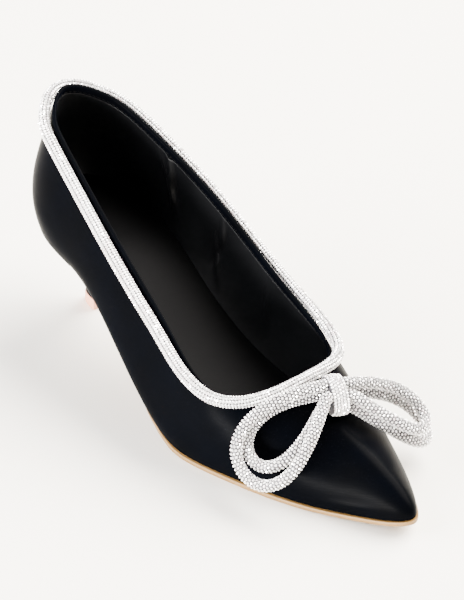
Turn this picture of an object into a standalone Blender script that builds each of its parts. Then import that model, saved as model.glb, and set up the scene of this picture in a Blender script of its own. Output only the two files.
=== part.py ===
"""Pointed court shoe with a kitten heel, a crystal rope round its topline and a crystal rope bow.

A right shoe in a women's EU 38, standing empty on its forefoot and its heel tip.
Metres, +X towards the toe, +Y towards the inner (big toe) side, +Z up, floor at Z = 0.
While it is made, X = 0 is the back of the heel; at the end all of it moves to the origin
at the middle of its footprint.
"""

import bpy
import numpy as np

MM = 0.001
PERCENT = 0.01

# Driving dimensions
SHOE_LENGTH = 250 * MM
BALL_WIDTH = 78 * MM
INSTEP_HEIGHT = 42 * MM
BACK_HEIGHT = 110 * MM
SEAT_HEIGHT = 43 * MM
GAP = 0.3 * MM

# Sole line, seen from the side
TREAD_BACK = 150 * MM
TREAD_FRONT = 206 * MM
TOE_SPRING = 6.5 * MM
BREAST = 50 * MM
SEAT_SLOPE = 0.16

# Walls and layers
SOLE_THICK = 2.5 * MM
SOLE_LEDGE = 0.8 * MM
WAIST_SET_IN = 1.5 * MM
WAIST_SPAN = (105 * MM, 140 * MM)
FLAP_THICK = 1.3 * MM
UPPER_WALL = 1.8 * MM
INSOLE_THICK = 2.2 * MM

# The last, a row for each section from the heel to the toe.
# Along is a percentage of the shoe's length and across one of the ball width, out to the outer
# side and in to the inner side: first the sole edge, then the topline. Up runs from 0 at the
# instep to 100 at the back. Rise and crown are how far the wall keeps its direction as it leaves
# the sole and as it reaches the topline, in mm. Lean is outwards from upright at the sole, drop is
# below level at the topline, in degrees.
LAST_COLUMNS = (
    "out_along", "out_across", "in_along", "in_across",
    "top_along", "top_out", "top_in", "up",
    "rise", "lean_out", "lean_in", "crown", "drop",
)
LAST = {
    "heel_back":   (1.6,  0.0,  1.6,  0.0,  3.5,  0.0,  0.0, 100.0, 20, 22, 22, 22, 76),
    "heel_corner": (3.8, 19.9,  3.8, 19.9,  6.6, 16.2, 18.9,  92.9, 19, 22, 22, 20, 77),
    "heel_side":  (10.8, 34.6, 10.8, 31.6, 11.5, 22.3, 28.5,  83.5, 17, 20, 20, 18, 80),
    "seat":       (20.8, 38.0, 20.8, 32.2, 21.8, 27.8, 36.3,  64.9, 14, 22, 22, 14, 82),
    "waist":      (34.4, 44.0, 34.4, 27.6, 34.8, 34.0, 42.0,  41.6, 12, 34, 45, 12, 84),
    "shank":      (46.4, 51.0, 47.2, 32.0, 47.2, 39.1, 42.7,  19.9, 12, 28, 40, 14, 80),
    "ball":       (57.2, 53.6, 60.0, 42.3, 56.9, 43.6, 43.9,   3.4, 14, 10, 14, 16, 72),
    "joint":      (68.0, 46.0, 71.2, 46.2, 63.6, 40.3, 40.4,  -3.7, 14,  6,  6, 18, 56),
    "shoulder":   (80.0, 32.0, 82.0, 39.7, 68.0, 27.5, 28.6,  -2.6, 13,  5,  5, 24, 38),
    "toe":        (91.2, 13.6, 92.8, 24.4, 69.7, 12.8, 12.2,  -0.9, 13,  5,  5, 34, 25),
    "tip_side":   (98.4,  1.9, 98.8, 11.5, 70.1,  3.6,  3.6,   0.0, 13,  5,  5, 39, 21),
    "tip":       (100.0, -5.1, 100.0, 5.1, 70.2,  0.0,  0.0,   0.0, 13,  5,  5, 39, 20),
}
# A rib shorter than this in plan leans along the topline's own outward direction.
FAN_REACH = 25 * MM

# The heel, a row for each level from its tip to the seat, in mm
HEEL_COLUMNS = ("up", "back", "front", "half_width")
HEEL = (
    (6.0, 26.4, 35.0, 4.2),
    (12.0, 26.3, 35.4, 4.3),
    (17.0, 25.2, 36.6, 5.2),
    (22.0, 22.6, 38.8, 7.8),
    (28.0, 18.8, 41.8, 11.6),
    (34.0, 14.0, 45.0, 16.2),
    (40.0, 8.8, 48.0, 21.2),
)
TIP_HEIGHT = 5.7 * MM
TIP_MARGIN = 0.5 * MM
FLAP_SET_IN = 0.4 * MM
FLAP_BEND_ALONG = 3.1 * MM
FLAP_BEND_DOWN = 2.6 * MM
FLAP_BEND_START = 4 * MM

# Crystal rope: the piping round the topline, and the bow
ROPE_RADIUS = 2.85 * MM
PIPING_BELOW_THROAT = 2.2 * MM
PIPING_BELOW_COLLAR = 4.4 * MM
COLLAR_ABOVE_INSTEP = 20 * MM
BOW_FROM_EDGE = 18.1 * MM
BOW_TURN = np.radians(22)
KNOT_LENGTH = 7.4 * MM
KNOT_HALF_ALONG = 10.5 * MM
KNOT_HALF_UP = 7.0 * MM
KNOT_TAPER = 0.12
STRAND_APART = 3.4 * MM
STUB = 1.8 * MM
LOOP_BEND = 0.4
LEVEL_HOLD = 4
# Loops, a row for each: on each side of the knot one rope lies on another. Side is -1 for the outer
# and +1 for the inner side; reach and width are those of the rope's middle line in mm; pinch is how
# long it stays narrow; sweep is how far it turns to the toe, start and end how far it points below
# level at the knot and at its far end, in degrees; level is its place in the knot, -1 below and +1
# above, which it holds for most of its reach, and lift is its height over the arch at its far end,
# in mm.
LOOP_COLUMNS = ("side", "reach", "width", "pinch", "sweep", "start", "end", "level", "lift")
LOOPS = {
    "bow_loop_outer_upper": (-1, 52.5, 27.0, 1.35, 10, 2, 61, 1, 2.0),
    "bow_loop_outer_lower": (-1, 40.5, 19.3, 1.35, 4, 2, 44.5, -1, -5.4),
    "bow_loop_inner_upper": (1, 43.5, 16.2, 1.2, 34, 14, 37, 1, 4.7),
    "bow_loop_inner_lower": (1, 47.5, 16.2, 1.2, 34, 14, 39, -1, -2.9),
}

# Mesh steps. Sections of the sole crowd towards the toe, and its first one lies just behind the tip.
NUDGE = 1e-4
OUTLINE_STEPS = 720
SHARP_ANGLE = 40
RIB_COUNT = 96
RISE_COUNT = 10
SOLE_STEPS = 40
SOLE_CROWDING = 1.6
TOE_TRIM = 0.1 * MM
ACROSS_STEPS = 4
HEEL_STEPS = 12
HEEL_SIDES = 22
PIPING_STEPS = 96
LOOP_STEPS = 34
ROPE_BEVEL = 2
KNOT_SIDES = 16
KNOT_STEPS = 6


def smooth_rows(knots, rows, t):
    """Values at t on cubic curves through the rows, each column on its own, with level-free ends."""
    slopes = np.gradient(rows, knots, axis=0)
    j = np.clip(np.searchsorted(knots, t, side="right") - 1, 0, len(knots) - 2)
    step = (knots[j + 1] - knots[j])[:, None]
    u = ((t - knots[j]) / step[:, 0])[:, None]
    rise = u * u * (3 - 2 * u)
    return (
        rows[j] * (1 - rise)
        + rows[j + 1] * rise
        + step * (slopes[j] * u * (1 - u) ** 2 - slopes[j + 1] * u * u * (1 - u))
    )


def closed_spline(knots, rows, t):
    """Values at t on the smoothest closed cubic curves through the rows, for knots from 0 to 1."""
    n = len(rows)
    h = np.diff(knots)
    before = np.roll(h, 1)
    chord = (np.roll(rows, -1, 0) - rows) / h[:, None]
    index = np.arange(n)
    system = np.zeros((n, n))
    system[index, index - 1] += before
    system[index, index] += 2 * (before + h)
    system[index, (index + 1) % n] += h
    bend = np.linalg.solve(system, 6 * (chord - np.roll(chord, 1, 0)))
    t = np.mod(t, 1)
    j = np.clip(np.searchsorted(knots, t, side="right") - 1, 0, n - 1)
    k = (j + 1) % n
    step = h[j][:, None]
    after = (t - knots[j])[:, None]
    left = step - after
    return (
        (bend[j] * left**3 + bend[k] * after**3) / (6 * step)
        + (rows[j] / step - bend[j] * step / 6) * left
        + (rows[k] / step - bend[k] * step / 6) * after
    )


def unit(vectors):
    return vectors / np.linalg.norm(vectors, axis=-1, keepdims=True)


def sole_line(x):
    """Height of the sole's underside: straight seat, curved shank, flat tread, toe spring."""
    back = np.clip((TREAD_BACK - x) / (TREAD_BACK - BREAST), 0, 1)
    shank = SEAT_HEIGHT * back**2 * (3 - 2 * back)
    shank += SEAT_SLOPE * (TREAD_BACK - BREAST) * (back**3 - back**2)
    seat = SEAT_SLOPE * np.maximum(BREAST - x, 0)
    toe = TOE_SPRING * (np.maximum(x - TREAD_FRONT, 0) / (SHOE_LENGTH - TREAD_FRONT)) ** 2
    return shank + seat + toe


def last_ring():
    """The last's sections as one closed ring of ribs: heel back, outer side, toe tip, inner side."""
    rows = {c: np.array([r[i] for r in LAST.values()]) for i, c in enumerate(LAST_COLUMNS)}
    length, width = SHOE_LENGTH * PERCENT, BALL_WIDTH * PERCENT
    top_z = INSTEP_HEIGHT + (BACK_HEIGHT - INSTEP_HEIGHT) * PERCENT * rows["up"]

    def side(name, sign):
        return np.column_stack([
            rows[f"{name}_along"] * length, sign * rows[f"{name}_across"] * width,
            rows["top_along"] * length, sign * rows[f"top_{name}"] * width, top_z,
            rows["rise"] * MM, np.radians(rows[f"lean_{name}"]),
            rows["crown"] * MM, np.radians(rows["drop"]),
        ])

    return np.vstack([side("out", -1), side("in", 1)[-2:0:-1]])


RING = last_ring()
RING_STEP = np.sqrt(
    np.linalg.norm(np.roll(RING[:, :2], -1, 0) - RING[:, :2], axis=1)
    + np.linalg.norm(np.roll(RING[:, 2:5], -1, 0) - RING[:, 2:5], axis=1)
)
RING_KNOTS = np.concatenate([[0], np.cumsum(RING_STEP)]) / RING_STEP.sum()


def ribs(t):
    """The four Bezier points of the upper's rib at each t: sole edge, rise, crown and topline."""

    def outward(curve):
        along = curve(t + NUDGE) - curve(t - NUDGE)
        return unit(np.column_stack([along[:, 1], -along[:, 0]]))

    row = closed_spline(RING_KNOTS, RING, t)
    foot, top = row[:, :2], row[:, 2:5]
    foot_out = outward(lambda u: closed_spline(RING_KNOTS, RING, u)[:, :2])
    top_out = outward(lambda u: closed_spline(RING_KNOTS, RING, u)[:, 2:4])
    rise, lean, crown, drop = (row[:, i : i + 1] for i in range(5, 9))
    start = np.column_stack([foot, sole_line(foot[:, 0]) + SOLE_THICK])
    away = foot - top[:, :2]
    reach = np.linalg.norm(away, axis=1, keepdims=True)
    fan = np.clip(reach / FAN_REACH, 0, 1)
    heading = unit(top_out * (1 - fan) + away / np.maximum(reach, MM) * fan)
    leave = start + rise * np.column_stack([foot_out * np.sin(lean), np.cos(lean)])
    arrive = top + crown * np.column_stack([heading * np.cos(drop), -np.sin(drop)])
    return start, leave, arrive, top


def upper_surface(t, h):
    """Points of the upper's outer face: t goes round the shoe, h goes up each rib from 0 to 1."""
    start, leave, arrive, top = (p[:, None] for p in ribs(np.atleast_1d(t)))
    h = np.asarray(h, float).reshape(1, -1, 1) if np.ndim(h) < 2 else np.asarray(h)[..., None]
    k = 1 - h
    return k**3 * start + 3 * h * k**2 * leave + 3 * h**2 * k * arrive + h**3 * top


def upper_normal(t, h):
    """Outward unit normals of the upper's outer face."""
    h = np.asarray(h, float)
    low, high = np.clip(h - NUDGE, 0, 1), np.clip(h + NUDGE, 0, 1)
    round_shoe = upper_surface(t + NUDGE, h) - upper_surface(t - NUDGE, h)
    return unit(np.cross(round_shoe, upper_surface(t, high) - upper_surface(t, low)))


def foot_outline(margin):
    """The sole edge in plan as a closed line, pushed outwards by the margin."""
    t = np.arange(OUTLINE_STEPS) / OUTLINE_STEPS
    line = closed_spline(RING_KNOTS, RING, t)[:, :2]
    along = np.roll(line, -1, 0) - np.roll(line, 1, 0)
    return line + margin * unit(np.column_stack([along[:, 1], -along[:, 0]]))


def side_reach(margin):
    """Functions of x for the outline's outer and inner side, and its two ends along x."""
    line = foot_outline(margin)
    tip, back = line[:, 0].argmax(), line[:, 0].argmin()
    outer = np.roll(line, -back, 0)[: (tip - back) % len(line) + 1]
    inner = np.roll(line, -tip, 0)[: (back - tip) % len(line) + 1][::-1]

    def at(x):
        return np.interp(x, outer[:, 0], outer[:, 1]), np.interp(x, inner[:, 0], inner[:, 1])

    return at, line[back, 0], line[tip, 0]


def add_mesh(name, points, faces, material):
    """A named object with its mesh, smooth-shaded but for sharp edges."""
    mesh = bpy.data.meshes.new(name)
    mesh.from_pydata(points.tolist(), [], faces)
    mesh.shade_smooth()
    mesh.set_sharp_from_angle(angle=np.radians(SHARP_ANGLE))
    mesh.materials.append(material)
    obj = bpy.data.objects.new(name, mesh)
    bpy.context.scene.collection.objects.link(obj)
    return obj


def grid_faces(rows, columns, close_rows=False):
    """Quads between the rows of points of a grid whose columns run round and close."""
    faces = []
    for i in range(rows if close_rows else rows - 1):
        for j in range(columns):
            a, b = i * columns, (i + 1) % rows * columns
            k = (j + 1) % columns
            faces.append([a + j, b + j, b + k, a + k])
    return faces


def add_loft(name, rings, material):
    """A solid through closed rings of points, with its two ends capped."""
    count, sides = rings.shape[:2]
    faces = grid_faces(count, sides)
    faces.append(list(range(sides)))
    faces.append([count * sides - 1 - j for j in range(sides)])
    return add_mesh(name, rings.reshape(-1, 3), faces, material)


def add_rope(name, path, radius, material, closed):
    """A round rope along a line of points."""
    curve = bpy.data.curves.new(name, "CURVE")
    curve.dimensions = "3D"
    curve.bevel_depth = radius
    curve.bevel_resolution = ROPE_BEVEL
    curve.use_fill_caps = not closed
    spline = curve.splines.new("POLY")
    spline.points.add(len(path) - 1)
    for point, place in zip(spline.points, path):
        point.co = (*place, 1)
    spline.use_cyclic_u = closed
    spline.use_smooth = True
    curve.materials.append(material)
    obj = bpy.data.objects.new(name, curve)
    bpy.context.scene.collection.objects.link(obj)
    return obj


def make_material(name, colour, roughness, metallic=0.0):
    material = bpy.data.materials.new(name)
    material.use_nodes = True
    shader = material.node_tree.nodes["Principled BSDF"]
    shader.inputs["Base Color"].default_value = (*colour, 1)
    shader.inputs["Roughness"].default_value = roughness
    shader.inputs["Metallic"].default_value = metallic
    return material


def make_upper(satin):
    """One hollow wall round the shoe: open at the topline, and underneath where the sole closes it."""
    t = np.arange(RIB_COUNT) / RIB_COUNT
    h = np.linspace(0, 1, RISE_COUNT + 1)
    outer = upper_surface(t, h)
    inner = outer - UPPER_WALL * upper_normal(t, h)
    inner[:, 0, 2] = sole_line(inner[:, 0, 0]) + SOLE_THICK
    wall = np.concatenate([outer, inner[:, ::-1]], axis=1)
    faces = grid_faces(RIB_COUNT, wall.shape[1], close_rows=True)
    return add_mesh("upper", wall.reshape(-1, 3), faces, satin)


def section_ring(low, high, reach):
    """A flat section across the shoe: along the low face from the outer to the inner side and back."""
    outer, inner = reach
    across = np.linspace(outer, inner, ACROSS_STEPS + 1)
    bottom = np.column_stack([np.full(len(across), low[0]), across, np.full(len(across), low[1])])
    top = np.column_stack([np.full(len(across), high[0]), across, np.full(len(across), high[1])])
    return np.vstack([bottom, top[::-1]])


def heel_sizes():
    """The heel's sizes by name at each level from its tip to the seat, where it has the upper's own edge."""
    reach, back_x, _ = side_reach(0)
    seat = [SEAT_HEIGHT + SOLE_THICK - GAP, back_x, BREAST, -reach(BREAST)[0]]
    table = np.vstack([np.array(HEEL) * MM, seat])
    level = np.linspace(0, 1, len(table))
    rows = smooth_rows(level, table, np.linspace(0, 1, HEEL_STEPS + 1))
    return dict(zip(HEEL_COLUMNS, rows.T))


def seat_edge():
    """The upper's edge behind the breast, from the outer corner round the back to the inner corner."""
    line = foot_outline(0)
    line = np.roll(line, -line[:, 0].argmax(), 0)
    line = line[line[:, 0] <= BREAST]
    far = np.concatenate([[0], np.cumsum(np.linalg.norm(np.diff(line, axis=0), axis=1))])
    even = np.linspace(far[-1], 0, HEEL_SIDES + 1)
    return np.column_stack([np.interp(even, far, line[:, i]) for i in (0, 1)])


def heel_rings():
    """Rings of the heel from tip to seat: a D with its flat breast to the front, then the seat's edge."""
    turn = np.linspace(-np.pi / 2, np.pi / 2, HEEL_SIDES + 1)
    d_shape = np.column_stack([np.cos(turn), np.sin(turn)])
    size = heel_sizes()
    edge = seat_edge()
    seat_length = BREAST - edge[:, 0].min()
    seat_shape = np.column_stack([(BREAST - edge[:, 0]) / seat_length, edge[:, 1] / size["half_width"][-1]])
    share = np.linspace(0, 1, HEEL_STEPS + 1)[:, None] ** 2
    shape_x = d_shape[:, 0] + (seat_shape - d_shape)[:, 0] * share
    shape_y = d_shape[:, 1] + (seat_shape - d_shape)[:, 1] * share
    front = size["front"][:, None]
    x = front - shape_x * (front - size["back"][:, None])
    y = shape_y * size["half_width"][:, None]
    z = size["up"][:, None] + SEAT_SLOPE * share * (front - x)
    return np.stack([x, y, z], axis=-1)


def make_heel(satin):
    """The covered heel: a slim stem that opens into the seat under the upper's back."""
    return add_loft("heel", heel_rings(), satin)


def make_heel_tip(tan):
    """The top piece that the heel stands on, a little wider than the stem and the flap."""
    turn = np.linspace(-np.pi / 2, np.pi / 2, HEEL_SIDES + 1)
    stem = dict(zip(HEEL_COLUMNS, np.array(HEEL[0]) * MM))
    front = stem["front"] + FLAP_THICK + TIP_MARGIN
    x = front - np.cos(turn) * (front - stem["back"] + TIP_MARGIN)
    y = np.sin(turn) * (stem["half_width"] + TIP_MARGIN)
    rings = [np.column_stack([x, y, np.full(len(turn), z)]) for z in (0, TIP_HEIGHT)]
    return add_loft("heel_tip", np.array(rings), tan)


def make_outsole(tan):
    """A thin sole from the toe to the heel's breast, where it turns down as a flap over the breast."""
    ledge, _, toe_x = side_reach(SOLE_LEDGE)
    share = np.linspace(0, 1, SOLE_STEPS + 1)
    corner_x = BREAST + GAP
    front_x = toe_x - TOE_TRIM
    x = front_x - (front_x - corner_x - FLAP_BEND_START) * share**SOLE_CROWDING

    def reach(at):
        outer, inner = ledge(at)
        set_in = np.interp(at, WAIST_SPAN, [WAIST_SET_IN + SOLE_LEDGE, 0])
        return outer + set_in, inner - set_in

    thin = np.interp(x, [corner_x, TREAD_BACK], [FLAP_THICK, SOLE_THICK - GAP])
    top = sole_line(x) + SOLE_THICK - GAP
    rings = [section_ring((at, up - thick), (at, up), reach(at)) for at, up, thick in zip(x, top, thin)]
    flat = sole_line(corner_x) + SOLE_THICK - GAP
    bend = (corner_x + FLAP_BEND_ALONG, flat - FLAP_BEND_DOWN)
    rings.append(section_ring(bend, (corner_x, flat), reach(corner_x)))
    corners = heel_rings()[::-1, [0, -1]]
    breast = np.column_stack([corners[:, :, 0].max(1), corners[:, 0, 2]])
    down = np.gradient(breast, axis=0)
    ahead = unit(np.column_stack([-down[:, 1], down[:, 0]]))
    near = breast + GAP * ahead
    far = near + FLAP_THICK * ahead
    outer = corners[:, 0, 1] + FLAP_SET_IN
    inner = corners[:, 1, 1] - FLAP_SET_IN
    for low, high, sides in list(zip(far, near, zip(outer, inner)))[1:]:
        rings.append(section_ring(low, high, sides))
    return add_loft("outsole", np.array(rings), tan)


def make_insole(black):
    """The sock that lines the bottom of the shoe, inside the wall."""
    reach, back_x, toe_x = side_reach(-UPPER_WALL - 2 * GAP)
    turn = np.linspace(0, np.pi, SOLE_STEPS + 1)
    x = (back_x + toe_x) / 2 + ((toe_x - back_x) / 2 - TOE_TRIM) * np.cos(turn)
    rings = []
    for at in x:
        low = sole_line(at) + SOLE_THICK + GAP
        rings.append(section_ring((at, low), (at, low + INSOLE_THICK), reach(at)))
    return add_loft("insole", np.array(rings), black)


def edge_share(t, below):
    """The h that lies a distance below the topline on each rib."""
    _, _, arrive, top = ribs(t)
    return 1 - below / (3 * np.linalg.norm(top - arrive, axis=1))


def make_piping(crystal):
    """The crystal rope on the outside of the topline, close under the throat and lower round the collar."""
    t = np.arange(PIPING_STEPS) / PIPING_STEPS
    above = ribs(t)[3][:, 2] - INSTEP_HEIGHT
    below = np.interp(above, [0, COLLAR_ABOVE_INSTEP], [PIPING_BELOW_THROAT, PIPING_BELOW_COLLAR])
    h = edge_share(t, below)[:, None]
    path = upper_surface(t, h) + (ROPE_RADIUS + GAP) * upper_normal(t, h)
    return add_rope("topline_piping", path[:, 0], ROPE_RADIUS, crystal, closed=True)


def bow_frame():
    """Middle of the knot, and the bow's directions there: to the inner side, ahead and up."""
    t = RING_KNOTS[len(LAST) : len(LAST) + 1]
    h = edge_share(t, BOW_FROM_EDGE)[:, None]
    normal = upper_normal(t, h)[0, 0]
    up = unit(normal * np.array([1, 0, 1]))
    inwards = np.array([0, 1, 0])
    return upper_surface(t, h)[0, 0] + (KNOT_HALF_UP + GAP) * normal, inwards, np.cross(inwards, up), up


def make_bow_knot(crystal):
    """The band round the middle of the bow: a short barrel across the shoe."""
    middle, inwards, ahead, up = bow_frame()
    axis = inwards * np.cos(BOW_TURN) + ahead * np.sin(BOW_TURN)
    face = ahead * np.cos(BOW_TURN) - inwards * np.sin(BOW_TURN)
    turn = np.arange(KNOT_SIDES) / KNOT_SIDES * 2 * np.pi
    outline = np.outer(np.cos(turn) * KNOT_HALF_ALONG, face) + np.outer(np.sin(turn) * KNOT_HALF_UP, up)
    place = np.linspace(-1, 1, KNOT_STEPS + 1)[:, None, None]
    rings = middle + axis * place * KNOT_LENGTH / 2 + outline * np.sqrt(1 - KNOT_TAPER * place**2)
    return add_loft("bow_knot", rings, crystal)


def loop_path(loop):
    """A drop-shaped loop out of the knot's end, on a round arch that falls over the vamp's side."""
    middle, inwards, ahead, up = bow_frame()
    side, pinch = loop["side"], loop["pinch"]
    sweep, start, end = np.radians([loop["sweep"], loop["start"], loop["end"]])
    axis = side * (inwards * np.cos(BOW_TURN) + ahead * np.sin(BOW_TURN))
    face = ahead * np.cos(BOW_TURN) - inwards * np.sin(BOW_TURN)
    outwards = side * inwards * np.cos(sweep) + ahead * np.sin(sweep)
    forwards = ahead * np.cos(sweep) - side * inwards * np.sin(sweep)
    turn = np.linspace(LOOP_BEND, 2 * np.pi - LOOP_BEND, LOOP_STEPS)
    turn = np.concatenate([[0], turn, [2 * np.pi]])
    out = np.sin(turn / 2) ** 2
    drop_shape = np.sin(turn / 2) ** (pinch + 1) * np.cos(turn / 2)
    widest = (pinch + 1) / (pinch + 2)
    drop_shape /= widest ** ((pinch + 1) / 2) * np.sqrt(1 - widest)
    arch = loop["reach"] * MM / (end - start)
    angle = start + (end - start) * out
    distance = arch * (np.sin(angle) - np.sin(start))
    fall = arch * (np.cos(start) - np.cos(angle))
    far = out**LEVEL_HOLD
    height = loop["level"] * STRAND_APART * (1 - far) + loop["lift"] * MM * far - fall
    path = (
        middle
        + axis * (KNOT_LENGTH / 2 + GAP + STUB)
        + np.outer(STRAND_APART * np.cos(turn / 2), face)
        + np.outer(distance, outwards)
        + np.outer(loop["width"] * MM / 2 * drop_shape, forwards)
        + np.outer(height, up)
    )
    return np.vstack([path[0] - STUB * axis, path, path[-1] - STUB * axis])


def make_bow_loops(crystal):
    """Two ropes, one on the other, on each side of the knot."""
    for name, row in LOOPS.items():
        path = loop_path(dict(zip(LOOP_COLUMNS, row)))
        add_rope(name, path, ROPE_RADIUS, crystal, closed=False)


def stand_on_origin():
    """Moves everything so that the origin is under the middle of its footprint, on the floor."""
    root = bpy.data.objects.new("shoe", None)
    bpy.context.scene.collection.objects.link(root)
    bpy.context.view_layer.update()
    pieces = [o for o in bpy.context.scene.objects if o.type != "EMPTY"]
    corners = np.array([list(c) for o in pieces for c in o.bound_box])
    low, high = corners.min(0), corners.max(0)
    root.location = (-(low[0] + high[0]) / 2, -(low[1] + high[1]) / 2, 0)
    for obj in pieces:
        obj.parent = root


def main():
    for obj in list(bpy.data.objects):
        bpy.data.objects.remove(obj)
    satin = make_material("black_satin", (0.012, 0.012, 0.016), 0.38)
    lining = make_material("black_lining", (0.014, 0.013, 0.013), 0.5)
    tan = make_material("tan_sole", (0.52, 0.33, 0.19), 0.6)
    crystal = make_material("crystal_rope", (0.86, 0.86, 0.87), 0.2, 0.6)
    make_upper(satin)
    make_heel(satin)
    make_heel_tip(tan)
    make_outsole(tan)
    make_insole(lining)
    make_piping(crystal)
    make_bow_knot(crystal)
    make_bow_loops(crystal)
    stand_on_origin()


main()
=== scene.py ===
"""Looks of a right court shoe: black satin, a kitten heel, a crystal rope topline and a crystal rope bow.

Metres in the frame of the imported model: +X towards the toe, +Y towards the inner side, +Z up.
Shapes are worked out with X = 0 at the back of the heel, as a shoemaker measures, and then moved
to the frame by ORIGIN.
"""

import bpy
import numpy as np
from mathutils import Matrix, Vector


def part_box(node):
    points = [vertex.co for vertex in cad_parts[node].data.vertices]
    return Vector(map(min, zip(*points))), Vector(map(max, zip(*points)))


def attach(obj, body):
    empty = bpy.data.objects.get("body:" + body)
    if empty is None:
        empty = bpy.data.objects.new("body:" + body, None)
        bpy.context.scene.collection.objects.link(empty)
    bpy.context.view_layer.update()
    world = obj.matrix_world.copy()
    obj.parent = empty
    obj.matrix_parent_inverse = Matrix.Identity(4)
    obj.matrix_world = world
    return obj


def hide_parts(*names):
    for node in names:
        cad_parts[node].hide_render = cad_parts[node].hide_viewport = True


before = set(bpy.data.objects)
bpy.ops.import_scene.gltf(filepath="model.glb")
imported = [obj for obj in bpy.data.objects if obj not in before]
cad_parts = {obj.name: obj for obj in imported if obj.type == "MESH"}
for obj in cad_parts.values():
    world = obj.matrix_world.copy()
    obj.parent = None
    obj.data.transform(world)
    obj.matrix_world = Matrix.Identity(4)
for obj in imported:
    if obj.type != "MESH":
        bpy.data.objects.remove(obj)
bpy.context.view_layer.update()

# Studio
# A sheet of warm white card, under soft daylight from a large window behind it on the right.
# The camera keeps the photograph's angle to the shoe.
MM = 0.001
PICTURE_HEIGHT = 600
VIEW_AZIMUTH, VIEW_ELEVATION, VIEW_ROLL = np.radians([49.3, 37.2, 1.5])
VIEW_DISTANCE = 2200 * MM
PIXELS_PER_METRE = 2230
AIM = np.array([-4.9, 4.7, 50.7]) * MM
CARD_SIZE = 8.0
CARD_BELOW = 0.2 * MM
CARD_FIBRE = 0.5 * MM


def linear(hex_colour):
    """The linear red, green, blue and alpha of an sRGB hex colour."""
    srgb = np.array([int(hex_colour[i : i + 2], 16) for i in (1, 3, 5)]) / 255
    rgb = np.where(srgb <= 0.04045, srgb / 12.92, ((srgb + 0.055) / 1.055) ** 2.4)
    return (*rgb.tolist(), 1.0)


def add_node(tree, kind, values=None, links=None, **settings):
    """A node with its settings, the values of its free inputs and the sockets linked to its others."""
    node = tree.nodes.new(kind)
    for name, value in settings.items():
        setattr(node, name, value)
    for name, value in (values or {}).items():
        node.inputs[name].default_value = value
    for name, source in (links or {}).items():
        tree.links.new(source, node.inputs[name])
    return node


def new_material(name, values):
    """A node material, its tree and its shader, with the shader's constant values set on its sockets."""
    material = bpy.data.materials.new(name)
    material.use_nodes = True
    shader = material.node_tree.nodes["Principled BSDF"]
    for socket, value in values.items():
        shader.inputs[socket].default_value = value
    return material, material.node_tree, shader


def set_finish(tree, shader, tones, roughness=None, relief=None, span=(0.3, 0.7)):
    """Gives a shader two tones and, where given, two roughnesses and a relief, each along a pattern.

    Tones are a pattern and two colours, roughness a pattern and the two values that it reaches at the
    ends of the span, and relief a pattern with the strength and the depth of its bumps.
    """
    pattern, first, second = tones
    tone = add_node(
        tree, "ShaderNodeMix", {6: linear(first), 7: linear(second)}, {0: pattern}, data_type="RGBA"
    )
    tree.links.new(tone.outputs[2], shader.inputs["Base Color"])
    if roughness:
        pattern, low, high = roughness
        gloss = add_node(
            tree, "ShaderNodeMapRange",
            {"From Min": span[0], "From Max": span[1], "To Min": low, "To Max": high}, {"Value": pattern},
        )
        tree.links.new(gloss.outputs["Result"], shader.inputs["Roughness"])
    if relief:
        pattern, strength, depth = relief
        bumps = add_node(
            tree, "ShaderNodeBump", {"Strength": strength, "Distance": depth}, {"Height": pattern}
        )
        tree.links.new(bumps.outputs["Normal"], shader.inputs["Normal"])


def add_surface(name, points, material, wrap=(False, False), capped=False, uv=None, sharp=50):
    """A piece from a grid of points: quads between neighbours, closed round where wrap says so.

    The two ends of a grid that is wrapped along its columns can be capped. UV is one pair for each
    point, with an extra row or column where the grid is wrapped, so that it doesn't run backwards.
    """
    rows, columns = points.shape[:2]
    i, j = np.meshgrid(np.arange(rows - 1 + wrap[0]), np.arange(columns - 1 + wrap[1]), indexing="ij")
    i = np.stack([i, i + 1, i + 1, i], axis=-1).reshape(-1, 4)
    j = np.stack([j, j, j + 1, j + 1], axis=-1).reshape(-1, 4)
    faces = (i % rows * columns + j % columns).tolist()
    if capped:
        faces.append(list(range(columns)))
        faces.append(list(range(rows * columns - 1, (rows - 1) * columns - 1, -1)))
    mesh = bpy.data.meshes.new(name)
    mesh.from_pydata(points.reshape(-1, 3).tolist(), [], faces)
    mesh.shade_smooth()
    mesh.set_sharp_from_angle(angle=np.radians(sharp))
    if uv is not None:
        corners = np.zeros((len(mesh.loops), 2), np.float32)
        corners[: i.size] = uv[i, j].reshape(-1, 2)
        mesh.uv_layers.new(name="cloth").data.foreach_set("uv", corners.ravel())
    mesh.materials.append(material)
    piece = bpy.data.objects.new(name, mesh)
    bpy.context.scene.collection.objects.link(piece)
    return piece


back = np.array([
    np.sin(VIEW_AZIMUTH) * np.cos(VIEW_ELEVATION),
    -np.cos(VIEW_AZIMUTH) * np.cos(VIEW_ELEVATION),
    np.sin(VIEW_ELEVATION),
])
level = np.array([np.cos(VIEW_AZIMUTH), np.sin(VIEW_AZIMUTH), 0])
right = level * np.cos(VIEW_ROLL) + np.cross(back, level) * np.sin(VIEW_ROLL)
camera = bpy.data.objects.new("camera", bpy.data.cameras.new("camera"))
camera.data.lens = PIXELS_PER_METRE * VIEW_DISTANCE / PICTURE_HEIGHT * camera.data.sensor_width
axes = np.column_stack([right, np.cross(back, right), back, AIM + back * VIEW_DISTANCE])
camera.matrix_world = Matrix(np.vstack([axes, [0, 0, 0, 1]]).tolist())
bpy.context.scene.collection.objects.link(camera)
bpy.context.scene.camera = camera

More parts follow.
